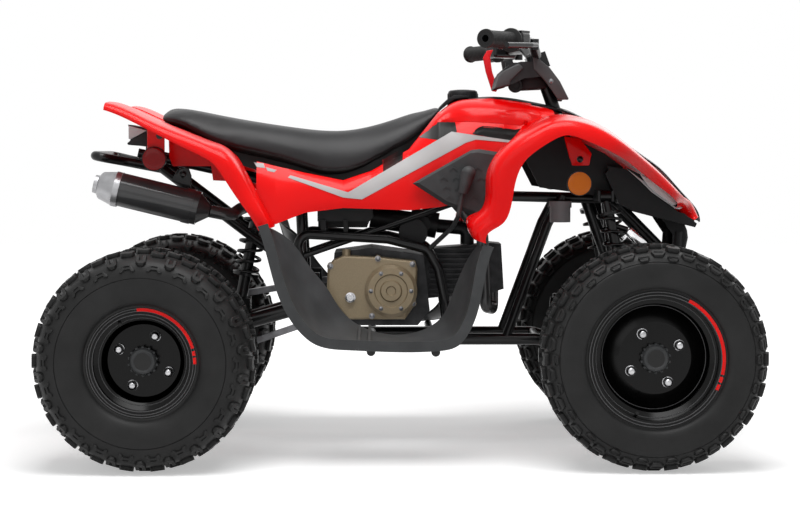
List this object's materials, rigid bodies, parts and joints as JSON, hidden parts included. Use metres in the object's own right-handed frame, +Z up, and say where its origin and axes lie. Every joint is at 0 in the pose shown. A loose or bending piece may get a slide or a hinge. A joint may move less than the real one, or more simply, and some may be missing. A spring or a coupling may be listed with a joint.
{
  "type": "youth quad bike",
  "caption": "Four-wheeled quad bike with lugged tyres, red moulded fenders, padded seat, handlebar steering and a solid rear axle.",
  "frame": {"origin": "on the ground, under the centre of the overall box", "axes": "+X forwards along the bike, +Y to the rider's left, +Z up"},
  "size_m": [1.4788, 0.909, 0.8978],
  "materials": {
    "tyre": "moulded tread rubber",
    "wheel_paint": "gloss black",
    "red_plastic": "gloss red",
    "dark_plastic": "grained dark grey",
    "frame_paint": "satin black",
    "steel": "machined",
    "shock_paint": "satin black",
    "grip_rubber": "matte",
    "seat_cover": "black vinyl",
    "engine_alloy": "cast",
    "cover_paint": "bronze",
    "lamp_lens": "clear moulded lens",
    "exhaust_steel": "heatproof black",
    "silencer_alloy": "satin"
  },
  "bodies": {
    "chassis": {"arm_lower_left": "frame_paint", "arm_lower_right": "frame_paint", "arm_upper_left": "frame_paint", "arm_upper_right": "frame_paint", "brake_reservoir": "dark_plastic", "bumper": "frame_paint", "chain": "steel", "engine": "engine_alloy", "engine_cover": "cover_paint", "exhaust_pipe": "exhaust_steel", "fascia": "dark_plastic", "fender_front": "red_plastic", "fender_rear": "red_plastic", "footwell_left": "dark_plastic", "footwell_right": "dark_plastic", "frame": "frame_paint", "fuel_cap": "dark_plastic", "gear_lever": "dark_plastic", "grab_bar": "frame_paint", "headlamps": "lamp_lens", "hood_strip": "dark_plastic", "intake": "dark_plastic", "knee_pads": "dark_plastic", "reflectors_front": "lamp_lens", "reflectors_rear": "lamp_lens", "seat": "seat_cover", "shock_front_left": "shock_paint", "shock_front_right": "shock_paint", "shock_rear": "shock_paint", "side_panel_left": "red_plastic", "side_panel_right": "red_plastic", "silencer": "exhaust_steel", "swingarm": "frame_paint", "tail_lamp": "lamp_lens"},
    "steering": {"bar_pod": "dark_plastic", "grip_left": "grip_rubber", "grip_right": "grip_rubber", "handlebar": "frame_paint", "lever_left": "dark_plastic", "lever_right": "dark_plastic", "steering_column": "frame_paint"},
    "knuckle_left": {"knuckle_left": "frame_paint"},
    "tie_rod_left": {"tie_rod_left": "frame_paint"},
    "wheel_front_left": {"rim_front_left": "wheel_paint", "tyre_front_left": "tyre", "hub_front_left": "steel"},
    "knuckle_right": {"knuckle_right": "frame_paint"},
    "tie_rod_right": {"tie_rod_right": "frame_paint"},
    "wheel_front_right": {"rim_front_right": "wheel_paint", "tyre_front_right": "tyre", "hub_front_right": "steel"},
    "rear_wheels": {"rear_axle": "steel", "rim_rear_left": "wheel_paint", "rim_rear_right": "wheel_paint", "tyre_rear_left": "tyre", "tyre_rear_right": "tyre"}
  },
  "joints": [
    {"name": "steering", "type": "hinge", "parent": "chassis", "child": "steering", "pos_m": [0.50309, 0, 0.288], "axis": [-0.342, 0, 0.9397], "range_deg": [-34, 34]},
    {"name": "knuckle_left", "type": "hinge", "parent": "chassis", "child": "knuckle_left", "pos_m": [0.5105, 0.262, 0.229], "axis": [0, 0, 1], "range_deg": [-27.5, 27.5]},
    {"name": "tie_rod_left", "type": "hinge", "parent": "steering", "child": "tie_rod_left", "pos_m": [0.45047, 0.018, 0.26885], "axis": [-0.342, 0, 0.9397], "range_deg": [-34.5, 34.5]},
    {"name": "wheel_front_left", "type": "hinge", "parent": "knuckle_left", "child": "wheel_front_left", "pos_m": [0.5105, 0.35, 0.229], "axis": [0, 1, 0], "continuous": true},
    {"name": "knuckle_right", "type": "hinge", "parent": "chassis", "child": "knuckle_right", "pos_m": [0.5105, -0.262, 0.229], "axis": [0, 0, 1], "range_deg": [-27.5, 27.5]},
    {"name": "tie_rod_right", "type": "hinge", "parent": "steering", "child": "tie_rod_right", "pos_m": [0.45047, -0.018, 0.26885], "axis": [-0.342, 0, 0.9397], "range_deg": [-34.5, 34.5]},
    {"name": "wheel_front_right", "type": "hinge", "parent": "knuckle_right", "child": "wheel_front_right", "pos_m": [0.5105, -0.35, 0.229], "axis": [0, 1, 0], "continuous": true},
    {"name": "rear_wheels", "type": "hinge", "parent": "chassis", "child": "rear_wheels", "pos_m": [-0.5155, 0, 0.224], "axis": [0, 1, 0], "continuous": true}
  ],
  "couplings": [
    {"joint": "knuckle_left", "follows": "steering", "ratio": 0.8},
    {"joint": "tie_rod_left", "follows": "steering", "ratio": -1},
    {"joint": "knuckle_right", "follows": "steering", "ratio": 0.8},
    {"joint": "tie_rod_right", "follows": "steering", "ratio": -1}
  ]
}
